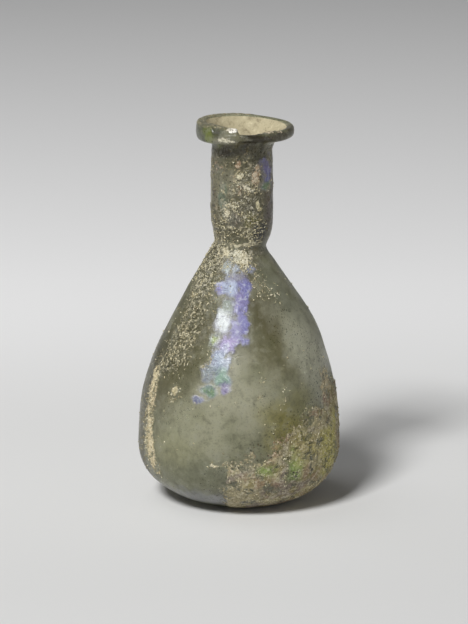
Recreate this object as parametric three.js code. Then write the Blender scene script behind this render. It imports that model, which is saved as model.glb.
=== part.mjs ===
// A small free-blown glass flask: pear-shaped body, neck pinched at its foot, folded rim.
// Millimetres, +Z up, origin at the middle of the underside.
import * as THREE from "three";
import { mergeVertices } from "three/addons/utils/BufferGeometryUtils.js";

// Outline of the outside, half-widths and heights
const footR = 11.6;
const belly = { r: 26.5, z: 15.4 };
const shoulder = { r: 9.1, z: 63.9, slope: 0.6 };
const waist = { r: 6.8, z: 68 };
const neck = { r: 8.2, foot: 75.2, topR: 8, top: 91.5 };
const rim = { low: 95.9, wide: 97.5, high: 99.6, lowR: 12.1, wideR: 12.8, highR: 11.9, mouthR: 10.6, mouth: 99.2 };

// Glass
const bodyWall = 1.6;
const neckWall = 1.5;
const floorWall = 3;

// Hand-made unevenness
const footShift = 0.7;      // the foot stands a little to the right of the belly
const bodyLean = 0.3;       // the upper body leans to the right
const shoulderSwell = 0.7;  // and swells there
const neckShift = 0.6;      // the neck stands off the body's axis
const rimShift = 0.8;       // and the rim off the neck's
const backLean = 0.4;
const depthOval = 0.985;    // the body is a touch shallower than wide
const creaseTilt = 0.65;    // the pinched crease climbs to the left
const lobes = [             // shallow hollows and swellings around the body
  { count: 2, share: 0.006, turn: 1.1, climb: 0.05 },
  { count: 3, share: 0.005, turn: 0.4, climb: -0.07 },
  { count: 5, share: 0.003, turn: 2.3, climb: 0.11 },
];

// The rim by angle, in degrees seen from above, 0 to the right and 270 to the front
const lap = { from: 261, to: 305, raise: 0.9, edge: 5 };  // where the fold runs thin
const dip = { from: 259, full: 263, ease: 275, to: 312, drop: 0.7 };  // and its lip dips
const leftRise = 0.55;      // the lip stands higher at the left
const leftDrop = 0.3;       // and the fold hangs lower there
const flat = { from: 228, to: 259, r: 10.8, z: 100.1, fall: 0.75, edge: 6 };  // ground-off facet
const lip = { at: 210, spread: 28, inward: 2.1, from: 185, full: 245, end: 257, stop: 261, raise: 0.8 };

const aroundCount = 48;

const smooth = (from, to, x) => THREE.MathUtils.smoothstep(x, from, to);
const bump = (x, middle, width) => Math.exp(-(((x - middle) / width) ** 2));
const point = (r, z) => new THREE.Vector2(r, z);

// 1 inside a stretch of angles and 0 outside it, with a sharper start than end
function stretch(degrees, { from, to, edge }) {
  const turned = THREE.MathUtils.euclideanModulo(degrees, 360);
  return smooth(from - edge / 2, from + edge / 2, turned) * (1 - smooth(to - edge, to + edge, turned));
}

// Outside of the body and neck, from the foot's edge up to where the rim flares
function outsideCurves() {
  const curve = (a, b, c, d, steps) => ({ bend: new THREE.CubicBezierCurve(a, b, c, d), steps });
  return [
    curve(point(footR, 0), point(footR + 1, 0), point(belly.r, 2.9), point(belly.r, belly.z), 9),
    curve(point(belly.r, belly.z), point(belly.r, 39.4), point(16.9, 51.3),
      point(shoulder.r, shoulder.z), 15),
    curve(point(shoulder.r, shoulder.z), point(shoulder.r - shoulder.slope * 1.2, shoulder.z + 1.2),
      point(waist.r, waist.z - 1), point(waist.r, waist.z), 3),
    curve(point(waist.r, waist.z), point(waist.r, waist.z + 1.2), point(neck.r, neck.foot - 4),
      point(neck.r, neck.foot), 5),
    curve(point(neck.r, neck.foot), point(neck.r + 0.2, neck.foot + 4), point(neck.topR, neck.top - 6),
      point(neck.topR, neck.top), 4),
  ];
}

function wallAt(z) {
  const upper = THREE.MathUtils.lerp(bodyWall, neckWall, smooth(50, 70, z));
  return THREE.MathUtils.lerp(floorWall, upper, smooth(0, 12, z));
}

// The same curves set in by the thickness of the glass
function insidePoints(curves) {
  const points = [];
  for (const { bend, steps } of curves) {
    for (let i = points.length ? 1 : 0; i <= steps; i++) {
      const at = bend.getPoint(i / steps);
      const along = bend.getTangent(i / steps);
      const wall = wallAt(at.y);
      points.push(point(at.x - along.y * wall, at.y + along.x * wall));
    }
  }
  return points;
}

// The collar: the glass turns out of the neck and is folded up and in, then falls to the neck
function rimPoints(neckInsideR) {
  const flare = new THREE.CubicBezierCurve(point(neck.topR, neck.top), point(neck.topR, 95.2),
    point(8.4, 95.5), point(rim.lowR, rim.low));
  const edge = new THREE.CubicBezierCurve(point(rim.lowR, rim.low), point(12.5, 96),
    point(rim.wideR, 96.6), point(rim.wideR, rim.wide));
  const fold = new THREE.CubicBezierCurve(point(rim.wideR, rim.wide), point(rim.wideR, 98.7),
    point(12.6, 99.5), point(rim.highR, rim.high));
  const crest = new THREE.QuadraticBezierCurve(point(rim.highR, rim.high), point(11.1, 99.6),
    point(rim.mouthR, rim.mouth));
  const funnel = new THREE.CubicBezierCurve(point(rim.mouthR, rim.mouth), point(9, 97.6),
    point(neckInsideR, 96), point(neckInsideR, neck.top));
  return [[flare, 6], [edge, 3], [fold, 4], [crest, 2], [funnel, 5]].flatMap(
    ([bend, steps]) => bend.getPoints(steps).slice(1));
}

function profile() {
  const curves = outsideCurves();
  const outside = curves.flatMap(({ bend, steps }, i) => bend.getPoints(steps).slice(i ? 1 : 0));
  const inside = insidePoints(curves);
  const rimRun = rimPoints(inside.at(-1).x);
  return [point(0, 0), ...outside, ...rimRun, ...inside.reverse().slice(1), point(0, floorWall)];
}

// Heights in the rim follow its lip and its lower edge, which wander with the angle
function rimHeight(z, r, degrees) {
  if (z <= neck.top) return z;
  const left = Math.cos(THREE.MathUtils.degToRad(degrees - 170));
  const turned = THREE.MathUtils.euclideanModulo(degrees, 360);
  const dipped = smooth(dip.from, dip.full, turned) * (1 - smooth(dip.ease, dip.to, turned));
  const low = rim.low - leftDrop * left + lap.raise * stretch(degrees, lap);
  const high = rim.high + leftRise * left - dip.drop * dipped;
  if (z <= rim.low) return THREE.MathUtils.mapLinear(z, neck.top, rim.low, neck.top, low);
  const raised = THREE.MathUtils.mapLinear(z, rim.low, rim.high, low, high);
  const cut = Math.min(raised, flat.z - flat.fall * (r - flat.r));
  const lipRise = lip.raise * smooth(lip.from, lip.full, turned) * (1 - smooth(lip.end, lip.stop, turned));
  return THREE.MathUtils.lerp(raised, cut, stretch(degrees, flat)) + lipRise * onLip(z, r);
}

// 1 on the lip's inner edge, fading to 0 at its outer edge and down the funnel
function onLip(z, r) {
  return smooth(97, 99, z) * (1 - smooth(rim.mouthR, rim.highR, r));
}

// Moves every point of the true turned form to where the glassblower left it
function unevenForm(geometry) {
  const places = geometry.attributes.position;
  const place = new THREE.Vector3();
  for (let i = 0; i < places.count; i++) {
    place.fromBufferAttribute(places, i);
    const { z } = place;
    const r = Math.hypot(place.x, place.y);
    const angle = Math.atan2(place.y, place.x);
    const onBody = smooth(0, 10, z) * (1 - smooth(56, 66, z));
    let swell = 1;
    for (const { count, share, turn, climb } of lobes) {
      swell += onBody * share * Math.cos(count * angle + turn + climb * z);
    }
    const fromLip = THREE.MathUtils.euclideanModulo(THREE.MathUtils.radToDeg(angle), 360) - lip.at;
    if (r > 1) swell -= (lip.inward * bump(fromLip, 0, lip.spread) * onLip(z, r)) / r;
    const deep = THREE.MathUtils.lerp(1, depthOval, onBody);
    const shiftX = footShift * (1 - smooth(0, 9, z)) + bodyLean * smooth(20, 40, z)
      + shoulderSwell * bump(z, 48, 8) + neckShift * smooth(66, 72, z)
      + rimShift * smooth(92, 96.5, z);
    const shiftY = backLean * (smooth(30, 60, z) - bump(z, 36, 12));
    place.x = place.x * swell + shiftX;
    place.y = place.y * swell * deep + shiftY;
    place.z = rimHeight(z, r, THREE.MathUtils.radToDeg(angle))
      - creaseTilt * Math.cos(angle) * bump(z, waist.z, 6);
    places.setXYZ(i, place.x, place.y, place.z);
  }
}

function flaskGeometry() {
  const turned = new THREE.LatheGeometry(profile(), aroundCount);
  turned.deleteAttribute("normal");
  turned.deleteAttribute("uv");
  turned.rotateX(Math.PI / 2);
  unevenForm(turned);
  const closed = mergeVertices(turned, 1e-4);
  closed.computeBoundingBox();
  const middle = closed.boundingBox.getCenter(new THREE.Vector3());
  closed.translate(-middle.x, -middle.y, 0);
  closed.computeVertexNormals();
  return closed;
}

const weatheredGlass = new THREE.MeshStandardMaterial({ color: 0x7d8068, roughness: 0.35, metalness: 0 });
const flask = new THREE.Mesh(flaskGeometry(), weatheredGlass);
flask.name = "flask";

const part = new THREE.Group();
part.add(flask);

export default part;
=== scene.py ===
import math
from itertools import combinations, product
import bpy
import numpy as np
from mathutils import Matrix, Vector


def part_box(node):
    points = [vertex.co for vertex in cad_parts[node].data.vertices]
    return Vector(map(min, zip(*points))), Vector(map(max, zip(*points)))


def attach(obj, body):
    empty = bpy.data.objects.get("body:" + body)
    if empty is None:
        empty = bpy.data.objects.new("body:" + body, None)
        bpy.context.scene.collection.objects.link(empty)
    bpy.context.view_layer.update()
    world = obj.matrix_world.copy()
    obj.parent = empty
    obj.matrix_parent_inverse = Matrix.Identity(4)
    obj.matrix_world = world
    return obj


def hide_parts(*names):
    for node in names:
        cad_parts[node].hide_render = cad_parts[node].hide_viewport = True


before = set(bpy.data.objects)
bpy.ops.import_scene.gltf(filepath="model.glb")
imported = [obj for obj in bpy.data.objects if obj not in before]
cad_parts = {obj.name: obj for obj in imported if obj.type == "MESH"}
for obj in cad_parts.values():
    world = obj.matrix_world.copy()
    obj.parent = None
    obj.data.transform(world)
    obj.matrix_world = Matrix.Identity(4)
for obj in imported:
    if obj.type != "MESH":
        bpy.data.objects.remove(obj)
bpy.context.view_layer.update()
mm = 0.001
low, high = (np.array(corner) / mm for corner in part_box("flask"))
middle = (low + high) / 2
print("flask box in mm:", low.round(2), high.round(2))


def smoothStep(start, end, x):
    t = np.clip((x - start) / (end - start), 0, 1)
    return t * t * (3 - 2 * t)


def bump(x, centre, width):
    return np.exp(-((x - centre) / width) ** 2)


def between(a, b, share):
    return a + (b - a) * share


def tint(code):  # "8a7b60" as a linear colour
    parts = np.array([int(code[i:i + 2], 16) for i in (0, 2, 4)]) / 255
    return np.where(parts < 0.04045, parts / 12.92, ((parts + 0.055) / 1.055) ** 2.4)


noiseSide = 32
noiseContrast = 1.6
noiseGrid = np.random.default_rng(11).random((noiseSide,) * 3)


def blobs(points, size, slide=0.0):  # smooth noise from 0 to 1, with blobs of that size in mm
    at = points / size + slide
    cell = np.floor(at).astype(int)
    t = at - cell
    t = t * t * (3 - 2 * t)
    total = np.zeros(len(points))
    for corner in product((0, 1), repeat=3):
        weight = np.prod(np.where(corner, t, 1 - t), axis=1)
        i, j, k = ((cell + corner) % noiseSide).T
        total += weight * noiseGrid[i, j, k]
    return total


def layered(points, size, slide=0.0, layers=3):  # the same with finer blobs on top
    total, share = 0, 0
    for layer in range(layers):
        total = total + blobs(points, size / 2 ** layer, slide + 3.7 * layer) / 2 ** layer
        share += 1 / 2 ** layer
    return (total / share - 0.5) * noiseContrast + 0.5


# how the scene is seen and lit
view = {"elevation": 14, "distance": 1.0, "lens": 221.5, "aside": -1.23, "down": 0.61}
studio = {
    "paper": "d6d6d5",
    # painted light on the paper: it brightens just behind the flask and darkens far behind it, standing in
    # for how the light falls; each band gives paper colour, where it fades in (m behind the flask), and
    # whether it fades in softly
    "paperLightBands": [("dededd", -0.09, 0.02, True), ("f0f0f0", 0.05, 0.22, True), ("cdcdcd", 0.24, 0.8, False)],
    "key": {"turn": -31, "rise": 47, "away": 2.4, "wide": 0.6, "tall": 0.6, "power": 58},
    "top": {"turn": -115, "rise": 66, "away": 1.3, "wide": 0.7, "tall": 0.7, "power": 2.2},
    "right": {"turn": 92, "rise": 8, "away": 1.2, "wide": 0.5, "tall": 0.9, "power": 0.5},
    "horizon": 0.36, "sky": 0.08, "skyRamp": (0.05, 0.6), "floorSide": 6.0,
}


def makeCamera():
    angle = math.radians(view["elevation"])
    aim = Vector(((middle[0] + view["aside"]) * mm, middle[1] * mm, (middle[2] - view["down"]) * mm))
    back = Vector((0, -math.cos(angle), math.sin(angle)))
    data = bpy.data.cameras.new("camera")
    data.lens = view["lens"]
    data.sensor_width = 36
    data.clip_start = 0.05
    camera = bpy.data.objects.new("camera", data)
    camera.location = aim + back * view["distance"]
    camera.rotation_euler = (math.radians(90 - view["elevation"]), 0, 0)
    bpy.context.scene.collection.objects.link(camera)
    bpy.context.scene.camera = camera
    bpy.context.scene.view_settings.view_transform = "Standard"


def addNode(tree, kind, values=None, **settings):
    node = tree.nodes.new(kind)
    for name, value in settings.items():
        setattr(node, name, value)
    for name, value in (values or {}).items():
        if hasattr(value, "links"):
            tree.links.new(value, node.inputs[name])
        else:
            node.inputs[name].default_value = value
    return node


def newMaterial(name):
    material = bpy.data.materials.new(name)
    material.use_nodes = True
    return material, material.node_tree, material.node_tree.nodes["Principled BSDF"]


def painted(tree, name, socket="Fac"):
    return addNode(tree, "ShaderNodeAttribute", attribute_name=name).outputs[socket]


def place(tree):
    return addNode(tree, "ShaderNodeTexCoord").outputs["Object"]


def grain(tree, size, detail=3, rough=0.6, twist=0.0):  # noise with grains of that size in mm
    return addNode(tree, "ShaderNodeTexNoise", {
        "Vector": place(tree), "Scale": 1 / (size * mm), "Detail": detail, "Roughness": rough,
        "Distortion": twist}).outputs["Fac"]


def cells(tree, size, output="Distance"):  # rounded cells of that size in mm
    return addNode(tree, "ShaderNodeTexVoronoi", {
        "Vector": place(tree), "Scale": 1 / (size * mm)}).outputs[output]


def fit(tree, value, fromLow, fromHigh, toLow=0.0, toHigh=1.0, smooth=False):
    return addNode(tree, "ShaderNodeMapRange", {
        "Value": value, "From Min": fromLow, "From Max": fromHigh, "To Min": toLow, "To Max": toHigh},
        interpolation_type="SMOOTHSTEP" if smooth else "LINEAR").outputs["Result"]


def sums(tree, operation, a, b):
    return addNode(tree, "ShaderNodeMath", {0: a, 1: b}, operation=operation).outputs[0]


def over(tree, under, top, share):  # the top colour laid over the other
    mix = addNode(tree, "ShaderNodeMix", data_type="RGBA", clamp_result=True)
    for socket, value in ((0, share), (6, under), (7, top)):
        if hasattr(value, "links"):
            tree.links.new(value, mix.inputs[socket])
        elif socket == 0:
            mix.inputs[socket].default_value = value
        else:
            mix.inputs[socket].default_value = (*tint(value), 1)
    return mix.outputs[2]


def bumpy(tree, height, strength, depth, under=None):  # depth in mm
    values = {"Height": height, "Strength": strength, "Distance": depth * mm}
    if under is not None:
        values["Normal"] = under
    return addNode(tree, "ShaderNodeBump", values).outputs["Normal"]


def makeFloor():
    side = studio["floorSide"]
    mesh = bpy.data.meshes.new("floor")
    corners = [(-side, -side, 0), (side, -side, 0), (side, side, 0), (-side, side, 0)]
    mesh.from_pydata(corners, [], [(0, 1, 2, 3)])
    floor = bpy.data.objects.new("floor", mesh)
    bpy.context.scene.collection.objects.link(floor)
    material, tree, shader = newMaterial("palePaper")
    depth = addNode(tree, "ShaderNodeSeparateXYZ", {"Vector": place(tree)}).outputs["Y"]
    colour = studio["paper"]
    # lay the painted light bands over the paper
    for paper, start, end, soft in studio["paperLightBands"]:
        colour = over(tree, colour, paper, fit(tree, depth, start, end, smooth=soft))
    tree.links.new(colour, shader.inputs["Base Color"])
    shader.inputs["Roughness"].default_value = 0.9
    shader.inputs["Specular IOR Level"].default_value = 0.1
    mesh.materials.append(material)


def makeLight(name):
    lamp = studio[name]
    data = bpy.data.lights.new(name, "AREA")
    data.shape = "RECTANGLE"
    data.size, data.size_y = lamp["wide"], lamp["tall"]
    data.energy = lamp["power"]
    light = bpy.data.objects.new(name, data)
    turn, rise = math.radians(lamp["turn"]), math.radians(lamp["rise"])
    way = Vector((math.sin(turn) * math.cos(rise), -math.cos(turn) * math.cos(rise), math.sin(rise)))
    light.location = Vector((0, 0, middle[2] * mm)) + way * lamp["away"]
    light.rotation_euler = way.to_track_quat("Z", "Y").to_euler()
    bpy.context.scene.collection.objects.link(light)


def makeStudio():
    makeFloor()
    for name in ("key", "top", "right"):
        makeLight(name)
    world = bpy.data.worlds.new("studio")
    world.use_nodes = True
    tree = world.node_tree
    way = addNode(tree, "ShaderNodeTexCoord").outputs["Generated"]
    height = addNode(tree, "ShaderNodeSeparateXYZ", {"Vector": way}).outputs["Z"]
    strength = fit(tree, height, *studio["skyRamp"], studio["horizon"], studio["sky"], smooth=True)
    back = tree.nodes["Background"]
    back.inputs["Color"].default_value = (1, 1, 1, 1)
    tree.links.new(strength, back.inputs["Strength"])
    bpy.context.scene.world = world


# the flask's form in mm, with the outline and the unevenness of the solid
flask = {
    "footR": 11.6, "belly": (26.5, 15.4), "bellyUnder": 2.9, "bellyOver": 39.4, "shoulderPull": (16.9, 51.3),
    "shoulder": (9.1, 63.9), "slope": 0.6, "waist": (6.8, 68),
    "neckR": 8.2, "neckFoot": 75.2, "neckTopR": 8, "neckTop": 91.5,
    "rimLow": 95.9, "rimWide": 97.5, "rimHigh": 99.6,
    "rimLowR": 12.1, "rimWideR": 12.8, "rimHighR": 11.9, "mouthR": 10.6, "mouth": 99.2,
    "bodyWall": 1.6, "neckWall": 1.5, "floorWall": 3,
    "lobes": ((2, 0.006, 1.1, 0.05), (3, 0.005, 0.4, -0.07), (5, 0.003, 2.3, 0.11)),
    "lap": (261, 305, 5), "lapRaise": 0.9, "dip": (259, 263, 275, 312), "dipDrop": 0.7,
    "leftRise": 0.55, "leftDrop": 0.3,
    "flat": (228, 259, 6), "flatR": 10.8, "flatZ": 100.1, "flatFall": 0.75,
    "lip": (185, 245, 257, 261), "lipRaise": 0.8, "lipAt": 210, "lipSpread": 28, "lipInward": 2.1,
    "sway": {"foot": 0.7, "belly": 0.3, "shoulder": 0.7, "neck": 0.6, "rim": 0.8, "back": 0.4},
    "waistTilt": 0.65, "squash": 0.015,
    "frontColumns": 170, "backColumns": 90, "front": 105,
    "waves": 0.12, "crustThick": 0.3, "flakeThick": 0.08, "pitDeep": 0.12, "inset": 0.14, "kick": 0.35,
}


def bend(a, b, c, d, steps=160):  # a curve from a to d, pulled towards b and c
    t = np.linspace(0, 1, steps)[:, None]
    a, b, c, d = (np.array(p, float) for p in (a, b, c, d))
    return (1 - t) ** 3 * a + 3 * (1 - t) ** 2 * t * b + 3 * (1 - t) * t * t * c + t ** 3 * d


def join(*lines):
    return np.vstack([lines[0]] + [line[1:] for line in lines[1:]])


def spaced(line, spacing):  # the same line with even steps
    run = np.concatenate([[0], np.cumsum(np.hypot(*np.diff(line, axis=0).T))])
    even = np.linspace(0, run[-1], max(2, round(run[-1] / spacing) + 1))
    return np.stack([np.interp(even, run, line[:, 0]), np.interp(even, run, line[:, 1])], 1)


def outsideLine():
    f = flask
    (bellyR, bellyZ), (shoulderR, shoulderZ), (waistR, waistZ) = f["belly"], f["shoulder"], f["waist"]
    return join(
        bend((f["footR"], 0), (f["footR"] + 1, 0), (bellyR, f["bellyUnder"]), (bellyR, bellyZ)),
        bend((bellyR, bellyZ), (bellyR, f["bellyOver"]), f["shoulderPull"], (shoulderR, shoulderZ)),
        bend((shoulderR, shoulderZ), (shoulderR - f["slope"] * 1.2, shoulderZ + 1.2),
             (waistR, waistZ - 1), (waistR, waistZ)),
        bend((waistR, waistZ), (waistR, waistZ + 1.2), (f["neckR"], f["neckFoot"] - 4),
             (f["neckR"], f["neckFoot"])),
        bend((f["neckR"], f["neckFoot"]), (f["neckR"] + 0.2, f["neckFoot"] + 4),
             (f["neckTopR"], f["neckTop"] - 6), (f["neckTopR"], f["neckTop"])))


def insideLine(outside):
    along = np.gradient(outside, axis=0)
    along /= np.hypot(*along.T)[:, None]
    z = outside[:, 1]
    wall = between(between(flask["bodyWall"], flask["neckWall"], smoothStep(50, 70, z)),
                   flask["floorWall"], 1 - smoothStep(0, 12, z))
    return outside + wall[:, None] * np.stack([-along[:, 1], along[:, 0]], 1)


def rimLine():
    f = flask
    return join(
        bend((f["neckTopR"], f["neckTop"]), (f["neckTopR"], 95.2), (8.4, 95.5), (f["rimLowR"], f["rimLow"])),
        bend((f["rimLowR"], f["rimLow"]), (12.5, 96), (f["rimWideR"], 96.6), (f["rimWideR"], f["rimWide"])),
        bend((f["rimWideR"], f["rimWide"]), (f["rimWideR"], 98.7), (12.6, 99.5),
             (f["rimHighR"], f["rimHigh"])),
        bend((f["rimHighR"], f["rimHigh"]), (11.4, f["rimHigh"]), (11, 99.5), (f["mouthR"], f["mouth"])))


def funnelLine(neckInsideR):
    f = flask
    return bend((f["mouthR"], f["mouth"]), (9, 97.6), (neckInsideR, 96), (neckInsideR, f["neckTop"]))


def stretch(degrees, start, end, edge):
    turned = degrees % 360
    return (smoothStep(start - edge / 2, start + edge / 2, turned)
            * (1 - smoothStep(end - edge, end + edge, turned)))


def arch(degrees, start, full, ease, end):
    turned = degrees % 360
    return smoothStep(start, full, turned) * (1 - smoothStep(ease, end, turned))


def onLip(z, r):  # 1 on the lip's inner edge
    return smoothStep(97, 99, z) * (1 - smoothStep(flask["mouthR"], flask["rimHighR"], r))


def rimHeight(z, r, degrees):
    f = flask
    left = np.cos(np.radians(degrees - 170))
    lowZ = f["rimLow"] - f["leftDrop"] * left + f["lapRaise"] * stretch(degrees, *f["lap"])
    highZ = f["rimHigh"] + f["leftRise"] * left - f["dipDrop"] * arch(degrees, *f["dip"])
    below = f["neckTop"] + (z - f["neckTop"]) * (lowZ - f["neckTop"]) / (f["rimLow"] - f["neckTop"])
    raised = lowZ + (z - f["rimLow"]) * (highZ - lowZ) / (f["rimHigh"] - f["rimLow"])
    cut = np.minimum(raised, f["flatZ"] - f["flatFall"] * (r - f["flatR"]))
    upper = between(raised, cut, stretch(degrees, *f["flat"]))
    upper = upper + f["lipRaise"] * arch(degrees, *f["lip"]) * onLip(z, r)
    return np.where(z <= f["neckTop"], z, np.where(z <= f["rimLow"], below, upper))


def unevenForm(points):
    x, y, z = points.T
    r, angle = np.hypot(x, y), np.arctan2(y, x)
    onBody = smoothStep(0, 10, z) * (1 - smoothStep(56, 66, z))
    swell = 1 + sum(onBody * share * np.cos(count * angle + turn + climb * z)
                    for count, share, turn, climb in flask["lobes"])
    inward = bump(np.degrees(angle) % 360, flask["lipAt"], flask["lipSpread"]) * onLip(z, r)
    swell = swell - flask["lipInward"] * inward / np.maximum(r, 1)
    sway = flask["sway"]
    shiftX = (sway["foot"] * (1 - smoothStep(0, 9, z)) + sway["belly"] * smoothStep(20, 40, z)
              + sway["shoulder"] * bump(z, 48, 8) + sway["neck"] * smoothStep(66, 72, z)
              + sway["rim"] * smoothStep(92, 96.5, z))
    shiftY = sway["back"] * (smoothStep(30, 60, z) - bump(z, 36, 12))
    tilt = flask["waistTilt"] * np.cos(angle) * bump(z, flask["waist"][1], 6)
    newZ = rimHeight(z, r, np.degrees(angle)) - tilt
    deep = 1 - flask["squash"] * onBody
    return np.stack([x * swell + shiftX, y * swell * deep + shiftY, newZ], 1)


def columnTurns():  # degrees from the front, closer together on the front
    f = flask
    front = np.linspace(-f["front"], f["front"], f["frontColumns"], endpoint=False)
    back = np.linspace(f["front"], 360 - f["front"], f["backColumns"], endpoint=False)
    return np.concatenate([front, back])


def flaskGrid():
    outside = outsideLine()
    inside = insideLine(outside)
    sections = [
        ("under", np.array([(0, 0), (flask["footR"], 0)], float), 0.8),
        ("outside", outside, 0.42),
        ("rim", rimLine(), 0.35),
        ("funnel", funnelLine(inside[-1][0]), 0.5),
        ("inside", inside[::-1], 2.2),
        ("floor", np.array([inside[0], (0, flask["floorWall"])], float), 1.5),
    ]
    rows, zones = [], []
    for number, (name, line, spacing) in enumerate(sections):
        part = spaced(line, spacing)[0 if number == 0 else 1:]
        rows.append(part)
        zones += [name] * len(part)
    rows = np.vstack(rows)
    turns = columnTurns()
    angles = np.radians(turns - 90)
    ideal = np.stack([rows[:, :1] * np.cos(angles), rows[:, :1] * np.sin(angles),
                      np.repeat(rows[:, 1:], len(angles), axis=1)], -1)
    grid = unevenForm(ideal.reshape(-1, 3)).reshape(ideal.shape)
    flat = grid.reshape(-1, 3)
    grid[..., :2] += middle[:2] - (flat.min(0) + flat.max(0))[:2] / 2
    return grid, np.array(zones), rows, (turns + 180) % 360 - 180


def gridNormals(grid):
    around = np.roll(grid, -1, axis=1) - np.roll(grid, 1, axis=1)
    along = np.gradient(grid, axis=0)
    normals = np.cross(around, along)
    normals = normals / np.maximum(np.linalg.norm(normals, axis=2, keepdims=True), 1e-9)
    normals[0], normals[-1] = (0, 0, -1), (0, 0, 1)
    return normals
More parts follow.
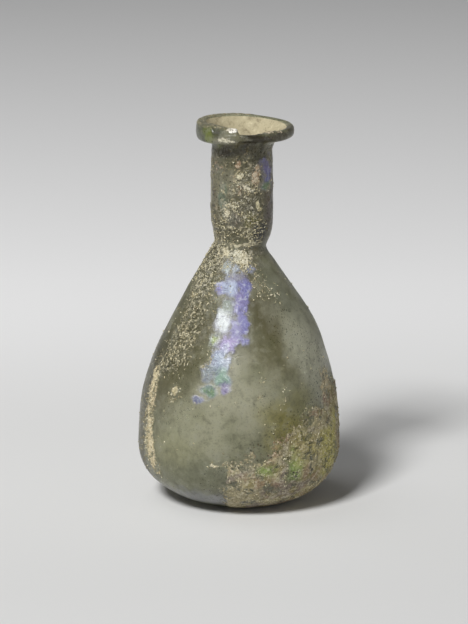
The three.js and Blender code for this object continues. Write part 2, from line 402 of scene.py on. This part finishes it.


# what lies on the glass, with painted light and shade among the stains, film, crusts and neck patches, each
# patch as degrees from the front (right is positive), height, width and length in mm, lean in degrees,
# colour and strength
skin = {
    "glass": "b0b08f", "inside": "c2c4ae", "throat": "8d8468", "mouth": "b3a98a",
    "film": "9a98bc", "crust": "a09878", "strip": "cdbf9a", "grains": "c2ba9a", "lip": "9a9072",
    "clear": 0.72, "insideClear": 0.55, "ior": 1.5,
    "stainsAndPaintedLight": [
        (-60, 44, 24, 36, 14, "85805e", 0.9),
        (-42, 40, 10, 30, 10, "8a8460", 0.9),
        (-33, 34, 10, 12, 0, "8a8868", 0.85),
        (32, 50, 15, 26, -14, "857d58", 0.95),
        (18, 56, 7, 14, -6, "79714e", 0.85),
        (26, 42, 14, 10, 0, "9a9470", 0.7),
        # painted glow on the right side, standing in for light passed through the glass
        (60, 41, 15, 30, -18, "eeedd6", 0.98),
        (46, 58, 5, 14, -20, "b0b29c", 0.8),
        (6, 31, 26, 15, 12, "e9e6ca", 0.95),
        # painted light: the pale zone low on the left front (this patch and the next)
        (-24, 23, 26, 13, -6, "dcdabc", 0.9),
        (-42, 17, 16, 12, 0, "c6c49c", 0.8),
        (-32, 10, 18, 8, 0, "a3a486", 0.85),
        (-14, 13.5, 14, 5, 0, "a7a98f", 0.8),
        (-24, 4, 26, 5, 0, "d2d3d8", 0.9),
        (30, 24, 15, 15, 20, "b5ab55", 0.95),
        (40, 30, 8, 8, 0, "a8a470", 0.6),
        (68, 17, 8, 15, 0, "bcb65e", 0.9),
        # painted shade where the body curves under to the foot, with a greenish tint (this patch and the
        # next)
        (-8, 1.2, 30, 2.2, 0, "5f6238", 0.9),
        (22, 1.0, 16, 2.2, 0, "4c4a30", 0.9),
    ],
    # iridescent film: on the front its colours are painted where the key lamp's highlight falls, partly the
    # film's own colour and partly painted highlight; the near-white patch is painted highlight
    "filmAndHighlightPatches": [
        (-22, 58.6, 4.6, 3.4, 0, "8f88cf", 1.0),
        (-10, 58.8, 5.0, 5.4, 0, "a9bbdd", 1.0),
        (5, 58.6, 3.6, 7.5, 0, "7775cf", 1.0),
        (-4, 61.6, 7.0, 2.4, 0, "8a86a8", 0.8),
        (-13, 54.2, 5.4, 5.0, 0, "92a08c", 0.9),
        (0, 54.4, 3.6, 7.0, 0, "8576c4", 1.0),
        (-17, 50.6, 4.8, 5.6, 10, "e6eeee", 1.0),
        (-21, 46.6, 3.4, 3.0, 0, "aabf56", 1.0),
        (1, 50.4, 4.2, 8.0, 0, "7f7cd0", 1.0),
        (-6, 47.6, 2.8, 9.0, 8, "9c96d6", 1.0),
        (-12, 45.4, 4.6, 4.4, 0, "ab92d8", 1.0),
        (-16, 41.6, 5.0, 6.0, 10, "a2b6d2", 1.0),
        (-9, 41.4, 2.4, 5.0, 12, "c6d3e6", 1.0),
        (-12, 37.6, 5.0, 4.2, 0, "8cbb9c", 1.0),
        (-9, 35.0, 2.8, 2.4, 0, "a394c8", 0.9),
        (-20, 34.2, 5.0, 3.4, 0, "74a266", 0.95),
        (-25, 32.0, 4.4, 2.2, 0, "8189b4", 0.9),
        (-22, 38.5, 4.2, 6.0, 0, "8c9ca8", 0.8),
        # painted reflection of the right-hand lamp on the film at the neck's right side (this patch and the
        # next two)
        (54, 88.4, 4.8, 6.4, 0, "7d70cc", 1.0),
        (55, 86.0, 4.4, 2.6, 0, "5d64cc", 1.0),
        (51, 84.0, 4.4, 2.2, 0, "6f9a50", 0.9),
        (-20, 63.6, 3.2, 4.0, 0, "a9bcb8", 0.8),
        (-6, 63.2, 3.0, 3.0, 0, "b4c4d8", 0.8),
        (16, 63.0, 2.4, 2.4, 0, "8f9cc8", 0.8),
        (148, 47, 4, 9, 12, "8da1bf", 0.7),
        (156, 41, 5, 6, 30, "9f94c4", 0.65),
        (141, 39, 3, 4, 0, "8fb49f", 0.6),
        (-146, 55, 3, 7, -10, "8fb49f", 0.65),
        (-152, 51, 3, 3, 0, "9f94c4", 0.6),
        (178, 84, 2.6, 4, 0, "8fb49f", 0.7),
    ],
    "filmGrey": 0.32, "filmLevel": 0.7,
    "crustsAndFacetHighlight": [
        (5, 65.4, 5.0, 4.4, 0, "d2cbb2", 0.8),
        (-14, 66.6, 4.6, 3.0, 0, "bfbda8", 0.8),
        (-36, 66.4, 3.0, 4.4, 10, "b5ac8e", 0.6),
        (0, 68.8, 9.0, 1.6, 0, "b9b294", 0.8),
        (24, 66.6, 2.4, 3.0, 0, "a5a08a", 0.6),
        (-2, 84.0, 9.0, 8.0, 0, "b9b294", 0.42),
        (10, 84.0, 4.4, 1.8, 40, "cbc4ac", 0.6),
        (-6, 87.2, 2.4, 1.8, 30, "cfc8aa", 0.8),
        (-16, 79.4, 2.6, 1.6, 20, "cdc6a8", 0.8),
        (-28, 78.2, 2.0, 2.4, 0, "b5ad90", 0.7),
        (30, 78.8, 1.5, 3.0, 0, "c6bd92", 0.8),
        (-8, 89.8, 2.2, 3.0, 0, "8f755a", 0.7),
        (27, 86.6, 2.4, 4.4, 20, "a3876a", 0.7),
        (-3, 82.6, 2.6, 3.4, 0, "86725a", 0.6),
        (7, 72.6, 4.0, 2.4, 30, "b0a98c", 0.5),
        (-20, 73.6, 3.0, 1.2, 0, "b8b194", 0.6),
        (-13, 15.0, 3.2, 1.4, 0, "d0c8aa", 1.0),
        (-4, 15.4, 5.0, 4.4, 30, "b4aa88", 0.6),
        (-43, 33.2, 1.6, 2.8, 0, "bab08c", 0.9),
        (64, 33.0, 7.0, 8.0, -10, "b8aa88", 0.72),
        (-4, 6, 7.0, 8.0, 0, "a59c7c", 0.55),
        # painted highlight on the rim's flat facet, laid as an opaque white patch
        (-17, 99.7, 3.6, 0.9, 0, "fbf8ee", 1.0),
        (-20, 97.2, 4.6, 1.7, 0, "bcb8a2", 0.75),
        (12, 99.3, 6.5, 0.8, 0, "c9bea2", 0.75),
        (34, 99.0, 6, 0.8, 0, "b7a88c", 0.7),
        (150, 66, 5, 4, 0, "b5ab8c", 0.7),
        (-130, 88, 3, 8, 0, "a89c7e", 0.6),
        (175, 18, 16, 14, 10, "a09678", 0.7),
    ],
    "fibres": [(0, 84.5, 15, 12), (-14, 78, 12, 7), (0, 66, 13, 6), (14, 75.8, 5, 4), (-38, 66, 5, 6),
               (-52, 60, 5, 10)],
    # blob size in mm, where in the noise, from and to, colour and strength
    "crustClouds": [(4.5, 6.2, 0.5, 0.75, "b4a984", 1.0), (4.5, 6.2, 0.5, 0.25, "887d70", 1.0),
                    (3.2, 2.7, 0.55, 0.7, "8a8052", 0.8), (2.4, 9.9, 0.6, 0.75, "967a66", 0.6)],
    "crustStains": [
        (34, 14.6, 5, 7, 0, "7d9c48", 0.8),
        (16, 13.6, 4.4, 3, 0, "7c944a", 0.8),
        (64, 18, 9, 15, 0, "c4bd68", 0.85),
        (44, 20, 9, 8, 0, "b0a66a", 0.7),
        (16, 19.0, 5, 3, 20, "98765f", 0.8),
        (160, 12, 6, 5, 0, "7c9648", 0.6),
    ],
    "neck": [
        (0, 82, 46, 30, 0, "8b8360", 0.85),
        (-34, 85, 6, 13, 0, "a9a88c", 0.9),
        (-38, 80.6, 2.6, 6.5, 0, "8eaa92", 0.9),
        (0, 90.5, 12, 4, 0, "77744f", 0.7),
        # painted shade on the neck under the rim's overhang (this patch and the next two)
        (-10, 94, 15, 3.2, 0, "4a472c", 0.95),
        (-38, 93.4, 4, 3, 0, "3f3722", 0.9),
        (18, 91.6, 5, 3, 0, "5c5930", 0.8),
        (14, 75.8, 4.0, 3.4, 0, "9a9636", 0.95),
        (20, 81.5, 4, 4, 0, "7a744e", 0.7),
        (64, 78.4, 4.4, 12, 0, "86746a", 0.95),
        (38, 72.0, 4.2, 4.6, 0, "2a3240", 0.95),
        (-2, 77.6, 5, 4, 0, "a09c82", 0.6),
        (-14, 75.4, 5, 3.4, 0, "87857a", 0.8),
        (-79, 82, 1.4, 22, 0, "d0c89c", 0.95),
        (-64, 82.4, 1.5, 2.6, 0, "46391f", 0.9),
        (-64, 78.0, 1.3, 1.8, 0, "463a24", 0.9),
        (-62, 74.4, 1.3, 3.0, 0, "5a5434", 0.8),
    ],
    "rim": [
        (-66, 97.5, 14, 7, 0, "70765a", 0.95),
        (-48, 97.4, 3.0, 5.5, 14, "9fae50", 0.95),
        (-56, 98.8, 1.6, 2.0, 0, "8a984c", 0.8),
        (-22, 96.6, 8, 3.0, 0, "bab7a4", 0.9),
        (-36, 99.0, 3, 1.4, 0, "4b4a38", 0.8),
        (14, 97.2, 9, 4.0, 0, "332d20", 0.95),
        (44, 97.6, 10, 3.4, 0, "5c5442", 0.9),
        (80, 97.6, 10, 4, 0, "6a6448", 0.9),
    ],
    # lines round the flask as (degrees, height)
    "crustTop": [(-180, 8), (-140, 12), (-105, 6), (-95, -6), (-20, -6), (-12, 4), (-6, 13), (10, 17.5),
                 (24, 23), (40, 26), (55, 30), (66, 34), (76, 36), (90, 30), (112, 21), (140, 13), (180, 8)],
    "leftStrip": [(-66, 35.5), (-64, 29), (-62.5, 21), (-60, 13), (-55, 8)],
    "shoulderGrains": [(-64, 67.3), (-58, 62), (-50, 56), (-49, 50), (-52, 42.2), (-58, 36)],
}


def localPatch(spot, patch, soft=0.35, ragged=0.5):  # a ragged oval, from 0 outside to 1 inside
    turn, height, wide, tall, lean = patch[:5]
    across = np.radians((spot["turn"] - turn + 180) % 360 - 180) * spot["r"]
    up = spot["z"] - height
    lean = math.radians(lean)
    u = (across * math.cos(lean) - up * math.sin(lean)) / (wide / 2)
    v = (across * math.sin(lean) + up * math.cos(lean)) / (tall / 2)
    size = min(wide, tall)
    noise = spot["coarse"] if size > 6 else spot["fine"]
    return 1 - smoothStep(1 - soft, 1 + soft, np.hypot(u, v) + ragged * (noise - 0.5) * 2)


def lay(colours, mask, code):
    return colours + (tint(code) - colours) * mask[:, None]


def alongLine(spot, line):  # distance in mm from a line given as (turn, height)
    nearest = np.full(len(spot["z"]), 1e9)
    for (turnA, zA), (turnB, zB) in zip(line, line[1:]):
        across = np.radians(spot["turn"] - turnA) * spot["r"]
        toB = np.radians(turnB - turnA) * spot["r"]
        up, toUp = spot["z"] - zA, zB - zA
        share = np.clip((across * toB + up * toUp) / (toB ** 2 + toUp ** 2), 0, 1)
        nearest = np.minimum(nearest, np.hypot(across - share * toB, up - share * toUp))
    return nearest


def paintGlass(spot):
    cloud = 0.86 + 0.28 * layered(spot["points"], 7.0, 4.4)
    colours = tint(skin["glass"]) * cloud[:, None]
    # the stains list holds real stains and painted light and shade
    for patch in skin["stainsAndPaintedLight"]:
        colours = lay(colours, patch[6] * localPatch(spot, patch, 0.7, 0.5), patch[5])
    for patch in skin["neck"] + skin["rim"]:
        colours = lay(colours, patch[6] * localPatch(spot, patch, 0.45, 0.5), patch[5])
    return colours


# film colours, partly the film's own and partly painted highlight
def paintFilm(spot):
    count = len(spot["z"])
    film, colours = np.zeros(count), np.tile(tint(skin["film"]), (count, 1))
    for patch in skin["filmAndHighlightPatches"]:
        mask = localPatch(spot, patch, 0.6, 0.45)
        calm = between(tint(patch[5]), tint(patch[5]).mean(), skin["filmGrey"]) * skin["filmLevel"]
        colours = colours + (calm - colours) * mask[:, None]
        film = np.maximum(film, mask * patch[6])
    return film, colours


def paintCrust(spot):  # the wide crust low on the right
    points = spot["points"]
    top = np.interp(spot["turn"], *np.array(skin["crustTop"]).T)
    depth = top - spot["z"] + 7 * (spot["coarse"] - 0.5) + 3 * (spot["fine"] - 0.5)
    colours = np.tile(tint(skin["crust"]), (len(points), 1))
    for size, slide, start, end, code, strength in skin["crustClouds"]:
        colours = lay(colours, strength * smoothStep(start, end, layered(points, size, slide)), code)
    for patch in skin["crustStains"]:
        colours = lay(colours, patch[6] * localPatch(spot, patch, 0.8, 0.8), patch[5])
    crust = smoothStep(-6, 7, depth) * (0.55 + 0.45 * smoothStep(0.25, 0.6, layered(points, 2.2, 5.5)))
    return crust, colours, smoothStep(-8, 2, depth)


def paintSkin(spot):
    points, turn, z = spot["points"], spot["turn"], spot["z"]
    spot["coarse"], spot["fine"] = layered(points, 5.0, 1.3), layered(points, 1.6, 8.1)
    coarse, fine = spot["coarse"], spot["fine"]
    colours = paintGlass(spot)
    film, filmAndHighlightColours = paintFilm(spot)
    crust, crustAndHighlightColours, grit = paintCrust(spot)
    fibre = np.zeros(len(z))
    for patch in skin["fibres"]:
        fibre = np.maximum(fibre, localPatch(spot, (*patch, 0), 0.5, 0.6))
    # the tan strip, and the darker, dusty glass to the left of it
    strip = 1 - smoothStep(1.2, 3.6, alongLine(spot, skin["leftStrip"]) + 3.0 * (fine - 0.5))
    crustAndHighlightColours = lay(crustAndHighlightColours, strip, skin["strip"])
    crust = np.maximum(crust, strip * (0.45 + 0.5 * smoothStep(0.3, 0.55, fine)) * smoothStep(6, 12, z))
    leftEdge = smoothStep(-64, -74, turn) * smoothStep(-122, -84, turn + 50 * (coarse - 0.5))
    leftEdge = leftEdge * (1 - smoothStep(30, 58, z + 24 * (coarse - 0.5)))
    colours = lay(colours, 0.9 * leftEdge, "545138")
    crustAndHighlightColours = lay(crustAndHighlightColours, leftEdge * (1 - strip), "ada384")
    crust = np.maximum(crust, 0.42 * leftEdge)
    # cream grains down the upper left
    grains = bump(alongLine(spot, skin["shoulderGrains"]), 0, 5.6) * smoothStep(34, 40, z)
    crustAndHighlightColours = lay(crustAndHighlightColours, smoothStep(0.3, 0.6, grains), skin["grains"])
    crust = np.maximum(crust, 0.47 * smoothStep(0, 0.7, grains))
    colours = lay(colours, 0.7 * grains, "6b6646")
    # crust patches, and the painted highlight on the rim's facet
    for patch in skin["crustsAndFacetHighlight"]:
        mask = patch[6] * localPatch(spot, patch, 0.4, 0.8)
        crustAndHighlightColours = lay(crustAndHighlightColours, smoothStep(0.1, 0.5, mask), patch[5])
        crust = np.maximum(crust, mask)
    # the neck carries thin dirt everywhere
    neck = smoothStep(68, 71, z) * (1 - smoothStep(94, 96, z))
    grit = np.maximum(np.maximum(grit, grains), neck)
    crust = np.maximum(crust, neck * (0.24 + 0.24 * smoothStep(0.4, 0.75, layered(points, 3.0, 3.1))))
    # a thin deposit on top of the lip, away from its front right
    lip = smoothStep(99.3, 99.7, z) * smoothStep(40, 60, np.abs(turn - 30))
    crustAndHighlightColours = lay(crustAndHighlightColours, lip, skin["lip"])
    crust = np.maximum(crust, 0.55 * lip)
    film = film * (1 - smoothStep(0.5, 0.8, crust))
    haze = smoothStep(0.35, 0.7, layered(points, 9.0, 7.7)) * (1 - smoothStep(60, 70, z))
    spot.update(tint=colours, film=film, filmTint=filmAndHighlightColours, crust=crust, crustTint=crustAndHighlightColours,
                grit=grit, haze=haze, grains=grains, fibre=fibre)


def relief(spot):  # how far the surface stands out, in mm
    points, z = spot["points"], spot["z"]
    waves = (layered(points, 8.0, 2.2) - 0.5) * 2 * flask["waves"] * smoothStep(1, 6, z)
    rough = blobs(points, 1.1, 3.3) * 0.6 + blobs(points, 0.7, 6.6) * 0.4
    crust = smoothStep(0.3, 0.6, spot["crust"]) * flask["crustThick"] * (0.25 + 0.75 * rough)
    flakes = smoothStep(0.35, 0.6, spot["film"]) * flask["flakeThick"] * blobs(points, 1.4, 1.1)
    pits = flask["pitDeep"] * spot["grit"] * smoothStep(0.72, 0.85, blobs(points, 1.0, 9.1))
    return (waves + crust + flakes - pits - flask["inset"]) * smoothStep(0, 1.2, z)


def gridFaces(rowCount, columnCount):
    faces = []
    for row in range(rowCount - 1):
        for column in range(columnCount):
            after = (column + 1) % columnCount
            here, above = row * columnCount, (row + 1) * columnCount
            if row == 0:
                faces.append((0, above + after, above + column))
            elif row == rowCount - 2:
                faces.append((here + column, here + after, above))
            else:
                faces.append((here + column, here + after, above + after, above + column))
    return faces


def makeMesh(name, points, faces):
    mesh = bpy.data.meshes.new(name)
    mesh.from_pydata((points * mm).tolist(), [], faces)
    mesh.shade_smooth()
    piece = bpy.data.objects.new(name, mesh)
    bpy.context.scene.collection.objects.link(piece)
    return piece


def giveColour(mesh, name, colours):
    layer = mesh.attributes.new(name, "FLOAT_COLOR", "POINT")
    solid = np.column_stack([np.clip(colours, 0, 1), np.ones(len(colours))])
    layer.data.foreach_set("color", solid.ravel())


def giveValue(mesh, name, values):
    mesh.attributes.new(name, "FLOAT", "POINT").data.foreach_set("value", np.asarray(values, float))


def glassSkin(tree):  # colour, roughness and bumps of the bare weathered glass
    grit, haze = painted(tree, "grit"), painted(tree, "haze")
    cloud, fine = grain(tree, 2.4, 5, 0.65), grain(tree, 0.5, 3)
    colour = painted(tree, "tint", "Color")
    colour = over(tree, colour, "5e5c3e", sums(tree, "MULTIPLY", fit(tree, cloud, 0.5, 0.32), 0.5))
    colour = over(tree, colour, "e2e1cf", sums(tree, "MULTIPLY", fit(tree, cloud, 0.52, 0.74), 0.6))
    holes = fit(tree, cells(tree, 1.1), 0.3, 0.16)
    pits = sums(tree, "MULTIPLY", holes, fit(tree, grit, 0.2, 0.9, 0.1, 0.9))
    colour = over(tree, colour, "37341f", pits)
    dust = sums(tree, "MULTIPLY", fit(tree, fine, 0.44, 0.34), fit(tree, grit, 0, 1, 0.3, 0.8))
    colour = over(tree, colour, "504d33", dust)
    specks = sums(tree, "MULTIPLY", fit(tree, fine, 0.6, 0.68), fit(tree, grit, 0, 1, 0.14, 0.8))
    colour = over(tree, colour, "d2ccb0", specks)
    rough = sums(tree, "ADD", fit(tree, haze, 0, 1, 0.3, 0.46), fit(tree, fine, 0.3, 0.7, -0.05, 0.08))
    normal = bumpy(tree, grain(tree, 1.8, 4), 0.35, 0.12)
    normal = bumpy(tree, sums(tree, "MULTIPLY", cells(tree, 0.8), grit), 0.5, 0.12, normal)
    return colour, rough, bumpy(tree, fine, 0.3, 0.05, normal)


def hazedGlass():
    material, tree, shader = newMaterial("hazedGlass")
    colour, rough, normal = glassSkin(tree)
    tree.links.new(colour, shader.inputs["Base Color"])
    tree.links.new(rough, shader.inputs["Roughness"])
    tree.links.new(normal, shader.inputs["Normal"])
    shader.inputs["Transmission Weight"].default_value = skin["clear"]
    shader.inputs["IOR"].default_value = skin["ior"]
    return material


def weatheredSkin():  # glass under flaking film and burial crust
    material, tree, shader = newMaterial("weatheredSkin")
    colour, rough, normal = glassSkin(tree)
    fine, flecks = grain(tree, 0.8, 5, 0.7), grain(tree, 0.45, 2)
    wave = grain(tree, 1.5, 3, 0.5, 2.5)
    ridge = sums(tree, "ABSOLUTE", sums(tree, "SUBTRACT", wave, 0.5), 0)
    fibres = sums(tree, "MULTIPLY", fit(tree, ridge, 0.035, 0.012), painted(tree, "fibre"))
    edge = sums(tree, "ADD", painted(tree, "crust"), fit(tree, fine, 0.2, 0.8, -0.55, 0.55))
    crust = sums(tree, "MAXIMUM", fit(tree, edge, 0.4, 0.7, smooth=True), fibres)
    value = addNode(tree, "ShaderNodeSeparateColor", {"Color": cells(tree, 0.55, "Color")}).outputs[0]
    # crust colours, with the painted highlight on the rim's facet
    dirt = painted(tree, "crustTint", "Color")
    dirt = over(tree, dirt, "5a523e", fit(tree, value, 0.45, 0.0, 0, 0.5))
    dirt = over(tree, dirt, "d6ceb6", fit(tree, value, 0.6, 1.0, 0, 0.5))
    dirt = over(tree, dirt, "453f2c", fit(tree, flecks, 0.42, 0.3, 0, 0.85))
    colour = over(tree, colour, dirt, crust)
    colour = over(tree, colour, "d9d3bc", fibres)
    hue = grain(tree, 1.7, 4, 0.65, 1.2)
    torn = fit(tree, grain(tree, 1.3, 5, 0.7, 0.6), 0.2, 0.8, -0.3, 0.3)
    edge = sums(tree, "ADD", painted(tree, "film"), torn)
    film = sums(tree, "MULTIPLY", fit(tree, edge, 0.12, 0.95, smooth=True), fit(tree, crust, 0, 1, 1, 0))
    # the film colour, with painted highlight from its patches, lightened and darkened by noise
    pearlAndHighlight = over(tree, painted(tree, "filmTint", "Color"), "cdd4d8", fit(tree, hue, 0.53, 0.7, 0, 0.7))
    pearlAndHighlight = over(tree, pearlAndHighlight, "5c5874", fit(tree, hue, 0.47, 0.34, 0, 0.6))
    colour = over(tree, colour, pearlAndHighlight, film)
    tree.links.new(colour, shader.inputs["Base Color"])
    cover = sums(tree, "MAXIMUM", crust, sums(tree, "MULTIPLY", film, 0.85))
    tree.links.new(fit(tree, cover, 0, 1, skin["clear"], 0), shader.inputs["Transmission Weight"])
    tree.links.new(sums(tree, "MULTIPLY", film, 0.06), shader.inputs["Metallic"])
    rough = sums(tree, "ADD", rough, sums(tree, "MULTIPLY", crust, 0.45))
    tree.links.new(rough, shader.inputs["Roughness"])
    normal = bumpy(tree, sums(tree, "MULTIPLY", value, crust), 0.5, 0.2, normal)
    normal = bumpy(tree, sums(tree, "ADD", crust, flecks), 0.6, 0.12, normal)
    tree.links.new(bumpy(tree, sums(tree, "MULTIPLY", hue, film), 0.5, 0.5, normal), shader.inputs["Normal"])
    shader.inputs["IOR"].default_value = skin["ior"]
    return material


def innerGlass():
    material, tree, shader = newMaterial("innerGlass")
    cloud = grain(tree, 6.0, 4)
    colour = over(tree, skin["inside"], "96947a", fit(tree, cloud, 0.55, 0.35, 0, 0.7))
    tree.links.new(colour, shader.inputs["Base Color"])
    tree.links.new(fit(tree, cloud, 0.3, 0.7, 0.25, 0.45), shader.inputs["Roughness"])
    shader.inputs["Transmission Weight"].default_value = skin["insideClear"]
    shader.inputs["IOR"].default_value = skin["ior"]
    return material


def mouthDeposit():
    material, tree, shader = newMaterial("mouthDeposit")
    cloud, fine = grain(tree, 2.2, 5, 0.65), grain(tree, 0.5, 3)
    colour = over(tree, skin["throat"], skin["mouth"], painted(tree, "mouthward"))
    colour = over(tree, colour, "d0c6a6", fit(tree, cloud, 0.54, 0.68, 0, 0.8))
    colour = over(tree, colour, "7a6f56", fit(tree, cloud, 0.46, 0.34, 0, 0.7))
    colour = over(tree, colour, "5c5340", fit(tree, fine, 0.38, 0.3, 0, 0.6))
    tree.links.new(colour, shader.inputs["Base Color"])
    shader.inputs["Roughness"].default_value = 0.8
    tree.links.new(bumpy(tree, sums(tree, "ADD", cloud, fine), 0.6, 0.15), shader.inputs["Normal"])
    return material


def makeFlask():
    grid, zones, rows, turns = flaskGrid()
    rowCount, columnCount = grid.shape[:2]
    spot = {
        "points": grid.reshape(-1, 3), "z": grid[..., 2].ravel(),
        "turn": np.tile(turns, rowCount), "r": np.repeat(np.maximum(rows[:, 0], 0.5), columnCount),
    }
    paintSkin(spot)
    normals = gridNormals(grid).reshape(-1, 3)
    outer = np.repeat(np.isin(zones, ("outside", "rim")), columnCount)
    points = spot["points"] + normals * (relief(spot) * outer)[:, None]
    under = np.repeat(zones == "under", columnCount)
    points[under, 2] += flask["kick"] * smoothStep(9.5, 3.5, spot["r"][under])
    points = np.clip(points, low + 0.01, high - 0.01)
    points[under & (spot["r"] > 10), 2] = 0
    faces = gridFaces(rowCount, columnCount)
    used = np.unique(np.concatenate([np.array(face) for face in faces]))
    index = np.full(len(points), -1)
    index[used] = np.arange(len(used))
    faces = [[int(index[corner]) for corner in face] for face in faces]
    glass = makeMesh("flaskGlass", points[used], faces)
    mesh = glass.data
    giveColour(mesh, "tint", spot["tint"][used])
    giveColour(mesh, "filmTint", spot["filmTint"][used])
    giveColour(mesh, "crustTint", spot["crustTint"][used])
    for name in ("film", "grit", "haze", "crust", "fibre"):
        giveValue(mesh, name, spot[name][used])
    giveValue(mesh, "mouthward", smoothStep(90, 97, spot["z"][used]))
    for material in (hazedGlass(), weatheredSkin(), innerGlass(), mouthDeposit()):
        mesh.materials.append(material)
    rowOf = np.repeat(np.arange(rowCount - 1), columnCount)
    inside = np.isin(zones[rowOf + 1], ("inside", "floor"))
    mouth = (zones[rowOf + 1] == "funnel") | (inside & (rows[rowOf, 1] > 66))
    touched = (spot["crust"] > 0.05) | (spot["film"] > 0.02) | (spot["fibre"] > 0.02)
    crusty = np.array([touched[used[face]].any() for face in faces])
    slots = np.where(mouth, 3, np.where(inside, 2, np.where(crusty, 1, 0)))  # in the order above
    mesh.polygons.foreach_set("material_index", slots.astype(np.int32))
    print("flaskGlass:", sum(len(face) - 2 for face in faces), "triangles")
    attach(glass, "root")
    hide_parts("flask")
    spot["points"], spot["normals"], spot["outer"] = points, normals, outer
    return spot


# loose cream crumbs that stand on the glass
crumbs = {
    "seed": 5, "count": 5200, "small": 0.07, "large": 0.24, "sunk": 0.35,
    "stray": 0.01, "strayFrom": 6, "from": 3, "to": 95,
    # where they gather: degrees, height, width and length
    "spots": [
        (-40, 73, 6, 5), (30, 72.5, 5, 5), (-66, 24, 5, 22), (-42, 33.4, 2.6, 5), (-45, 31, 2.5, 3),
        (14, 37, 1.6, 1.4), (12, 33, 1.4, 1.2), (12, 29, 1.2, 1.2), (28, 33.5, 0.9, 5.5), (25, 30, 0.8, 2),
        (20, 25, 0.8, 2.5), (-6, 87, 4, 4), (10, 84, 6, 5), (-16, 79.4, 4, 3), (4, 65, 7, 6),
        (-30, 66, 5, 6), (24, 60, 4, 4), (-12, 15, 4, 3), (32, 57, 6, 3), (14, 75.8, 4, 3.6),
        (-24, 41, 3, 4), (8, 72, 6, 3),
    ],
    "tones": ("d6cfb2", "c4bb98", "a99e7e"),
}


def crumbDensity(spot):
    c = crumbs
    density = 1.1 * spot["grains"] * smoothStep(0.35, 0.65, spot["fine"])
    for patch in c["spots"]:
        density = np.maximum(density, 0.9 * localPatch(spot, (*patch, 0), 0.5, 0.5))
    density = np.maximum(density, 0.16 * smoothStep(0.3, 0.8, spot["crust"]))
    density = np.maximum(density, c["stray"] * (spot["z"] > c["strayFrom"]))
    return density * spot["outer"] * (spot["z"] > c["from"]) * (spot["z"] < c["to"])


def crumbShape():  # twelve corners and twenty sides
    golden = (1 + 5 ** 0.5) / 2
    ball = np.array([(0, a, b * golden) for a in (-1, 1) for b in (-1, 1)], float)
    ball = np.vstack([ball, ball[:, [2, 0, 1]], ball[:, [1, 2, 0]]])
    ball /= np.linalg.norm(ball[0])
    near = np.linalg.norm(ball[:, None] - ball[None], axis=2) < 1.2
    sides = []
    for a, b, d in combinations(range(len(ball)), 3):
        if near[a, b] and near[b, d] and near[a, d]:
            out = np.dot(np.cross(ball[b] - ball[a], ball[d] - ball[a]), ball[a]) > 0
            sides.append((a, b, d) if out else (a, d, b))
    return ball, sides


def makeCrumbs(spot):
    c = crumbs
    rng = np.random.default_rng(c["seed"])
    weight = crumbDensity(spot) * spot["r"] * np.where(np.abs(spot["turn"]) < flask["front"], 1, 1.5)
    chosen = rng.choice(len(weight), c["count"], p=weight / weight.sum())
    ball, sides = crumbShape()
    points, faces, tones = [], [], []
    for number, vertex in enumerate(chosen):
        size = between(c["small"], c["large"], rng.random() ** 2.2)
        shape = ball * rng.uniform(0.75, 1.25, (12, 1)) * size
        shape = shape * (rng.uniform(0.8, 2.0), rng.uniform(0.6, 1), 0.8)
        out = spot["normals"][vertex]
        side = np.cross(out, rng.normal(size=3))
        side /= np.linalg.norm(side)
        basis = np.stack([side, np.cross(out, side), out])
        centre = spot["points"][vertex] + out * size * (0.5 - c["sunk"])
        points.append(centre + shape @ basis)
        first = len(ball) * number
        faces += [(a + first, b + first, d + first) for a, b, d in sides]
        tones += [tint(c["tones"][rng.integers(3)]) * rng.uniform(0.85, 1.1)] * len(ball)
    points = np.clip(np.vstack(points), low + 0.01, high - 0.01)
    piece = makeMesh("crustGrains", points, faces)
    giveColour(piece.data, "crumbTint", np.array(tones))
    material, tree, shader = newMaterial("creamCrumb")
    dirt = fit(tree, grain(tree, 0.3, 3), 0.5, 0.35, 0, 0.6)
    colour = over(tree, painted(tree, "crumbTint", "Color"), "7d7358", dirt)
    tree.links.new(colour, shader.inputs["Base Color"])
    shader.inputs["Roughness"].default_value = 0.75
    piece.data.materials.append(material)
    print("crustGrains:", len(faces), "triangles")
    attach(piece, "root")
    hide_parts("flask")


makeCamera()
makeStudio()
print("camera and studio ready")
spot = makeFlask()
makeCrumbs(spot)
